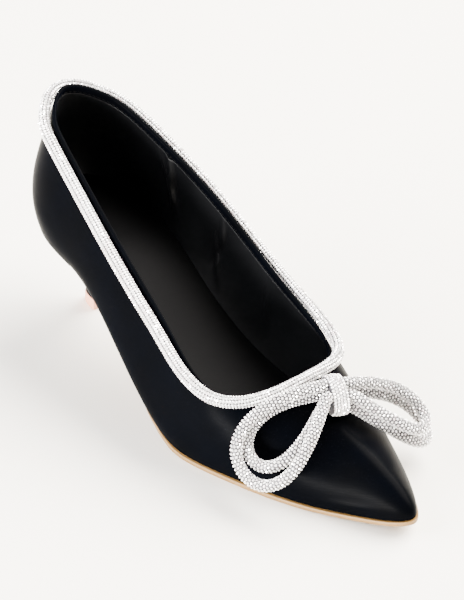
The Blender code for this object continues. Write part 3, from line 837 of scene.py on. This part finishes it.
# Tan sole leather: vegetable tanned and rolled smooth, with short fibres, small specks and a thin polish.
sole_leather, tree, shader = new_material(
    "tan_sole_leather", {"Specular IOR Level": 0.35, "IOR": 1.5, "Coat Weight": 0.08, "Coat Roughness": 0.3}
)
place = add_node(tree, "ShaderNodeTexCoord")
fibres = add_node(
    tree, "ShaderNodeTexNoise", {"Scale": 1 / FIBRE_GRAIN, "Detail": 4.0, "Roughness": 0.6},
    {"Vector": place.outputs["Object"]},
)
specks = add_node(
    tree, "ShaderNodeTexVoronoi", {"Scale": 1 / FIBRE_SPECK}, {"Vector": place.outputs["Object"]}
)
set_finish(
    tree, shader,
    tones=(fibres.outputs["Fac"], "#5A411E", "#866534"),
    roughness=(fibres.outputs["Fac"], 0.42, 0.6),
    relief=(specks.outputs["Distance"], 0.25, 0.06 * MM),
)

ledge, _, toe_x = side_reach(foot_outline(SOLE_LEDGE))
corner_x = BREAST + GAP
front_x = toe_x - TOE_TRIM
x = front_x - (front_x - corner_x - FLAP_BEND_START) * np.linspace(0, 1, SOLE_STEPS) ** SOLE_CROWDING
thin = np.interp(x, [corner_x, TREAD_BACK], [FLAP_THICK, SOLE_THICK - GAP])
top = sole_line(x) + SOLE_THICK - GAP
flat = sole_line(corner_x) + SOLE_THICK - GAP
corners = heel_grid()[::-1, [0, -1]]
breast = np.column_stack([corners[:, :, 0].max(1), corners[:, 0, 2]])
down = np.gradient(breast, axis=0)
ahead = unit(np.column_stack([-down[:, 1], down[:, 0]]))
near = (breast + GAP * ahead)[FLAP_FIRST_LEVEL:]
far = near + FLAP_THICK * ahead[FLAP_FIRST_LEVEL:]
bend = [[corner_x + FLAP_BEND_ALONG, flat - FLAP_BEND_DOWN]]
low = np.vstack([np.column_stack([x, top - thin]), bend, far])
high = np.vstack([np.column_stack([x, top]), [[corner_x, flat]], near])
sole_x = np.append(x, corner_x)
outer, inner = ledge(sole_x)
set_in = np.interp(sole_x, WAIST_SPAN, [WAIST_SET_IN + SOLE_LEDGE, 0])
outer = np.append(outer + set_in, corners[FLAP_FIRST_LEVEL:, 0, 1] + FLAP_SET_IN)
inner = np.append(inner - set_in, corners[FLAP_FIRST_LEVEL:, 1, 1] - FLAP_SET_IN)
points = layer_grid(low, high, (outer, inner), (outer, inner), SOLE_EDGE, 0.0)
sole = add_surface("leather_sole", points, sole_leather, (False, True), capped=True)
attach(sole, "root")
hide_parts("outsole")

# Heel
# A moulded heel covered in the upper's satin, screwed on from inside before the sock goes in.
# The cover is drawn smooth down the stem and its edges meet under the flap.
points = heel_grid() + ORIGIN
run = np.linalg.norm(np.diff(points, axis=0), axis=2).mean(1)
girth = np.linspace(0, 1, HEEL_SIDES + 2) * np.linalg.norm(np.diff(points, axis=1), axis=2).sum(1).max()
uv = np.stack(
    np.meshgrid(np.concatenate([[0], np.cumsum(run)]) / UV_UNIT, girth / UV_UNIT, indexing="ij"), axis=-1
)
heel = add_surface("heel_cover", points, satin, (False, True), capped=True, uv=uv, sharp=40)
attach(heel, "root")
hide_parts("heel")

# Heel tip
# The tip is a tan moulded top piece with a pin, driven into the stem. The shoe stands on it.
# Its edges are eased, and it is a little wider than the stem.
TIP_HEIGHT = 5.7 * MM
TIP_MARGIN = 0.5 * MM
TIP_EASE = 0.45 * MM
TIP_SPECK = 0.6 * MM
# Levels of the tip: height as a share of it, and how far its outline is set in as a share of the ease.
TIP_LEVELS = ((0.0, 1.0), (0.02, 0.5), (0.08, 0.0), (0.5, 0.0), (0.92, 0.0), (0.98, 0.5), (1.0, 1.0))

# Tan polyurethane: moulded, matt and slightly pink, with a fine dull speckle.
top_piece, tree, shader = new_material("tan_polyurethane", {"Specular IOR Level": 0.35, "IOR": 1.5})
place = add_node(tree, "ShaderNodeTexCoord")
speck = add_node(
    tree, "ShaderNodeTexNoise", {"Scale": 1 / TIP_SPECK, "Detail": 3.0}, {"Vector": place.outputs["Object"]}
)
set_finish(
    tree, shader,
    tones=(speck.outputs["Fac"], "#B97B5F", "#D49C80"),
    roughness=(speck.outputs["Fac"], 0.5, 0.65),
    relief=(speck.outputs["Fac"], 0.2, 0.05 * MM),
    span=(0.0, 1.0),
)

stem = dict(zip(HEEL_COLUMNS, np.array(HEEL[0]) * MM))
turn = np.linspace(-np.pi / 2, np.pi / 2, HEEL_SIDES + 1)
levels = np.array(TIP_LEVELS)
ease = levels[:, 1:] * TIP_EASE
tip_front = stem["front"] + FLAP_THICK + TIP_MARGIN - ease
tip_half = stem["half_width"] + TIP_MARGIN - ease
tip_x = tip_front - np.cos(turn) * (tip_front - HEEL_TIP_BACK - ease)
tip_y = np.sin(turn) * tip_half
tip_z = levels[:, :1] * TIP_HEIGHT + np.zeros_like(turn)
points = np.stack([tip_x, tip_y, tip_z], axis=-1) + ORIGIN
tip = add_surface("heel_top_piece", points, top_piece, (False, True), capped=True)
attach(tip, "root")
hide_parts("heel_tip")

# Crystal rope round the topline
# A soft silver cord set all over with small foil-backed glass stones, sewn to the outside of the
# topline. Its stones lie in straight rows.
ROPE_RADIUS = 2.85 * MM
PIPING_BELOW_THROAT = 2.2 * MM
PIPING_BELOW_COLLAR = 4.4 * MM
COLLAR_ABOVE_INSTEP = 20 * MM
PIPING_STONE = 1.6 * MM
PIPING_ROWS = 9
PIPING_STEP = 1.35 * MM
TABLE_WIDTH = 0.42
TABLE_UP = 0.34
CULET_DOWN = 0.22
FACETS = 6
STONE_TILT = 0.10
STONE_SEED = 11
CORD_SIDES = 14
draw = np.random.default_rng(STONE_SEED)

# A stone: a point underneath, a wide ring at the girdle and a narrow ring, turned by half a facet, round
# the flat table. All its faces are flat.
facet = np.arange(FACETS) / FACETS * 2 * np.pi
girdle = np.column_stack([np.cos(facet), np.sin(facet), np.zeros(FACETS)]) / 2
facet = facet + np.pi / FACETS
table = np.column_stack([np.cos(facet), np.sin(facet), np.zeros(FACETS)]) * TABLE_WIDTH / 2
table[:, 2] = TABLE_UP
STONE = np.vstack([[[0, 0, -CULET_DOWN]], girdle, table])
STONE_FACES = []
for i in range(FACETS):
    k = (i + 1) % FACETS
    STONE_FACES.append([0, 1 + k, 1 + i])
    STONE_FACES.append([1 + i, 1 + k, 1 + FACETS + i])
    STONE_FACES.append([1 + FACETS + i, 1 + k, 1 + FACETS + k])
for i in range(1, FACETS - 1):
    STONE_FACES.append([1 + FACETS, 1 + FACETS + i, 2 + FACETS + i])


def set_stones(name, centre, out, along, width, material):
    """Stones at the centres, each facing out and turned and tilted a little by chance.

    A stone's points are its centre plus its three axes times the points of the one cut stone.
    """
    tilt = draw.normal(0, STONE_TILT, (2, len(out), 1))
    across = np.cross(out, along)
    up = unit(out + tilt[0] * along + tilt[1] * across)
    spin = draw.uniform(0, 2 * np.pi, (len(out), 1))
    flat = unit(np.cross(across, up))
    side = np.cross(up, flat)
    first = flat * np.cos(spin) + side * np.sin(spin)
    second = np.cross(up, first)
    shapes = centre[:, None] + width * (
        first[:, None] * STONE[None, :, :1]
        + second[:, None] * STONE[None, :, 1:2]
        + up[:, None] * STONE[None, :, 2:]
    )
    piece = add_repeated(name, shapes, STONE_FACES, material, False)
    chance = np.repeat(draw.uniform(0, 1, len(out)), len(STONE)).astype(np.float32)
    piece.data.attributes.new("stone", "FLOAT", "POINT").data.foreach_set("value", chance)
    return piece


def rope(name, path, face, closed, stone, rows, step, stagger):
    """A cord along the path and the stones on it, as two pieces.

    The cord is a circle carried along the path. Stones stand at equal steps along it and in rows at
    equal angles round it, and every other ring is turned by the stagger's share of half an angle.
    """
    along, out, across = line_frame(path, face, closed)
    seat = ROPE_RADIUS - TABLE_UP * stone
    turn = (np.arange(CORD_SIDES) / CORD_SIDES * 2 * np.pi)[None, :, None]
    circle = out[:, None] * np.cos(turn) + across[:, None] * np.sin(turn)
    cord = add_surface(
        f"{name}_cord", path[:, None] + circle[:, ::-1] * (seat - CULET_DOWN * stone / 2), silver_cord,
        (closed, True), capped=not closed,
    )
    place, rows_out = even_steps(path, step, closed, out)
    along, out, across = line_frame(place, rows_out, closed)
    ring = np.arange(len(place))[:, None] % 2 * stagger / 2
    turn = ((np.arange(rows)[None] + ring) / rows * 2 * np.pi)[..., None]
    radial = (out[:, None] * np.cos(turn) + across[:, None] * np.sin(turn)).reshape(-1, 3)
    along = np.repeat(along, rows, axis=0)
    centre = np.repeat(place, rows, axis=0) + radial * seat
    stones = set_stones(f"{name}_stones", centre, radial, along, stone, foiled_glass)
    return cord, stones


# Foil-backed glass: clear cut stones that mirror the light facet by facet, white or faintly pink.
foiled_glass, tree, shader = new_material(
    "foil_backed_glass", {"Metallic": 0.5, "Roughness": 0.1, "Specular IOR Level": 0.7, "Coat Weight": 0.5,
                          "Coat Roughness": 0.03}
)
chance = add_node(tree, "ShaderNodeAttribute", attribute_name="stone")
clear = add_node(
    tree, "ShaderNodeMix", {6: linear("#FFFDFB"), 7: linear("#F0EEEE")},
    {0: chance.outputs["Fac"]}, data_type="RGBA",
)
pink = add_node(
    tree, "ShaderNodeMapRange", {"From Min": 0.82, "From Max": 1.0, "To Min": 0.0, "To Max": 0.5},
    {"Value": chance.outputs["Fac"]},
)
tone = add_node(
    tree, "ShaderNodeMix", {7: linear("#F3D9DC")}, {0: pink.outputs["Result"], 6: clear.outputs[2]},
    data_type="RGBA",
)
tree.links.new(tone.outputs[2], shader.inputs["Base Color"])

# Silver cord: a knitted tube of metallised yarn, seen only as a grey between the stones.
YARN = 0.5 * MM
silver_cord, tree, shader = new_material("silver_knitted_cord", {"Metallic": 0.4, "Roughness": 0.45})
place = add_node(tree, "ShaderNodeTexCoord")
yarn = add_node(
    tree, "ShaderNodeTexVoronoi", {"Scale": 1 / YARN}, {"Vector": place.outputs["Object"]}
)
set_finish(
    tree, shader,
    tones=(yarn.outputs["Distance"], "#565458", "#2E2D30"),
    relief=(yarn.outputs["Distance"], 0.4, 0.1 * MM),
)

above = ribs(t)[3][:, 2:] - INSTEP_HEIGHT
below = np.interp(above, [0, COLLAR_ABOVE_INSTEP], [PIPING_BELOW_THROAT, PIPING_BELOW_COLLAR])
piping_h = edge_share(t, below)
piping_out = upper_normal(t, piping_h)[:, 0]
path = upper_surface(t, piping_h)[:, 0] + (ROPE_RADIUS + GAP) * piping_out + ORIGIN
for piece in rope("piping", path, piping_out, True, PIPING_STONE, PIPING_ROWS, PIPING_STEP, 0):
    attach(piece, "root")
    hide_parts("topline_piping")

# Bow knot
# A band of the same stones wrapped round the middle of the bow and sewn through the vamp.
# Its stones lie in staggered rows round the band.
BOW_FROM_EDGE = 18.1 * MM
BOW_TURN = np.radians(22)
KNOT_LENGTH = 7.4 * MM
KNOT_HALF_ALONG = 10.5 * MM
KNOT_HALF_UP = 7.0 * MM
KNOT_TAPER = 0.12
KNOT_STONE = 1.62 * MM
KNOT_ROWS = 5
KNOT_STEP = 1.38 * MM
KNOT_STEPS = 19
KNOT_SIDES = 64
KNOT_EASE = 0.35 * MM
KNOT_EASE_POWER = 8

knot_t = RING_KNOTS[len(LAST) : len(LAST) + 1]
knot_h = edge_share(knot_t, np.array([BOW_FROM_EDGE]))
knot_normal = upper_normal(knot_t, knot_h)[0, 0]
bow_up = unit(knot_normal * np.array([1, 0, 1]))
inwards = np.array([0, 1, 0])
bow_ahead = np.cross(inwards, bow_up)
knot_middle = upper_surface(knot_t, knot_h)[0, 0] + (KNOT_HALF_UP + GAP) * knot_normal + ORIGIN
knot_axis = inwards * np.cos(BOW_TURN) + bow_ahead * np.sin(BOW_TURN)
knot_face = bow_ahead * np.cos(BOW_TURN) - inwards * np.sin(BOW_TURN)


def barrel(turn, place, inset):
    """Points of the knot's barrel: an ellipse round the turn, swelling as sqrt(1 - taper place^2)."""
    swell = np.sqrt(1 - KNOT_TAPER * place**2)
    ahead = np.cos(turn) * (KNOT_HALF_ALONG - inset) * swell
    up = np.sin(turn) * (KNOT_HALF_UP - inset) * swell
    return (
        knot_middle
        + knot_axis * (place * KNOT_LENGTH / 2)[..., None]
        + knot_face * ahead[..., None]
        + bow_up * up[..., None]
    )


seat = TABLE_UP * KNOT_STONE
turn, place = np.meshgrid(np.arange(KNOT_SIDES) / KNOT_SIDES * 2 * np.pi, np.linspace(-1, 1, KNOT_STEPS))
points = barrel(turn, place, seat + KNOT_EASE * place**KNOT_EASE_POWER)
band = add_surface("bow_knot_band", points, silver_cord, (False, True), capped=True)
count = int(round(np.pi * (KNOT_HALF_ALONG + KNOT_HALF_UP - 2 * seat) / KNOT_STEP))
row = np.arange(KNOT_ROWS)[:, None]
turn = (np.arange(count) + row % 2 / 2) / count * 2 * np.pi
place = np.broadcast_to((row + 0.5) / KNOT_ROWS * 2 - 1, turn.shape)
centre = barrel(turn, place, seat)
turn = turn.reshape(-1, 1)
facing = unit(knot_face * np.cos(turn) / KNOT_HALF_ALONG + bow_up * np.sin(turn) / KNOT_HALF_UP)
lying = np.tile(knot_axis, (len(facing), 1))
stones = set_stones("bow_knot_stones", centre.reshape(-1, 3), facing, lying, KNOT_STONE, foiled_glass)
for piece in (band, stones):
    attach(piece, "root")
    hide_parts("bow_knot")

# Bow loops
# Two crystal ropes on each side, bent into drops, one on the other, with their ends in the knot.
# They are stiff and arch over the vamp. Their stones are set in staggered rings.
STRAND_APART = 3.4 * MM
STUB = 1.8 * MM
LOOP_BEND = 0.4
LEVEL_HOLD = 4
LOOP_STEPS = 160
BOW_STONE = 1.38 * MM
LOOP_ROWS = 9
LOOP_STEP = 1.6 * MM
# Loops, a row for each: side, -1 outer and +1 inner; reach and width in mm; pinch, how long it stays
# narrow; sweep to the toe, start and end below level in degrees; level in the knot, which it holds for
# most of its reach; lift over the arch at its far end in mm.
LOOP_COLUMNS = ("side", "reach", "width", "pinch", "sweep", "start", "end", "level", "lift")
LOOPS = {
    "bow_loop_outer_upper": (-1, 52.5, 27.0, 1.35, 10, 2, 61, 1, 2.0),
    "bow_loop_outer_lower": (-1, 40.5, 19.3, 1.35, 4, 2, 44.5, -1, -5.4),
    "bow_loop_inner_upper": (1, 43.5, 16.2, 1.2, 34, 14, 37, 1, 4.7),
    "bow_loop_inner_lower": (1, 47.5, 16.2, 1.2, 34, 14, 39, -1, -2.9),
}


def loop_line(loop):
    """The middle line of a loop and the way out of the arch at each point of it.

    Along the loop's turn, sin^2(turn / 2) goes out and back, a drop sin^(pinch+1) cos opens it sideways,
    and a round arch from the start's slope to the end's lets it fall.
    """
    side, pinch = loop["side"], loop["pinch"]
    sweep, start, end = np.radians([loop["sweep"], loop["start"], loop["end"]])
    axis = side * knot_axis
    outwards = side * inwards * np.cos(sweep) + bow_ahead * np.sin(sweep)
    forwards = bow_ahead * np.cos(sweep) - side * inwards * np.sin(sweep)
    turn = np.linspace(LOOP_BEND, 2 * np.pi - LOOP_BEND, LOOP_STEPS)
    turn = np.concatenate([[0], turn, [2 * np.pi]])
    out = np.sin(turn / 2) ** 2
    drop_shape = np.sin(turn / 2) ** (pinch + 1) * np.cos(turn / 2)
    widest = (pinch + 1) / (pinch + 2)
    drop_shape /= widest ** ((pinch + 1) / 2) * np.sqrt(1 - widest)
    arch = loop["reach"] * MM / (end - start)
    angle = start + (end - start) * out
    distance = arch * (np.sin(angle) - np.sin(start))
    fall = arch * (np.cos(start) - np.cos(angle))
    far = out**LEVEL_HOLD
    height = loop["level"] * STRAND_APART * (1 - far) + loop["lift"] * MM * far - fall
    line = (
        knot_middle
        + axis * (KNOT_LENGTH / 2 + GAP + STUB)
        + np.outer(STRAND_APART * np.cos(turn / 2), knot_face)
        + np.outer(distance, outwards)
        + np.outer(loop["width"] * MM / 2 * drop_shape, forwards)
        + np.outer(height, bow_up)
    )
    face = np.outer(np.cos(angle), bow_up) + np.outer(np.sin(angle), outwards)
    line = np.vstack([line[0] - STUB * axis, line, line[-1] - STUB * axis])
    return line, np.vstack([face[:1], face, face[-1:]])


for name, row in LOOPS.items():
    path, face = loop_line(dict(zip(LOOP_COLUMNS, row)))
    for piece in rope(name.replace("bow_loop", "bow"), path, face, False, BOW_STONE, LOOP_ROWS, LOOP_STEP, 1):
        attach(piece, "root")
        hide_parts(name)
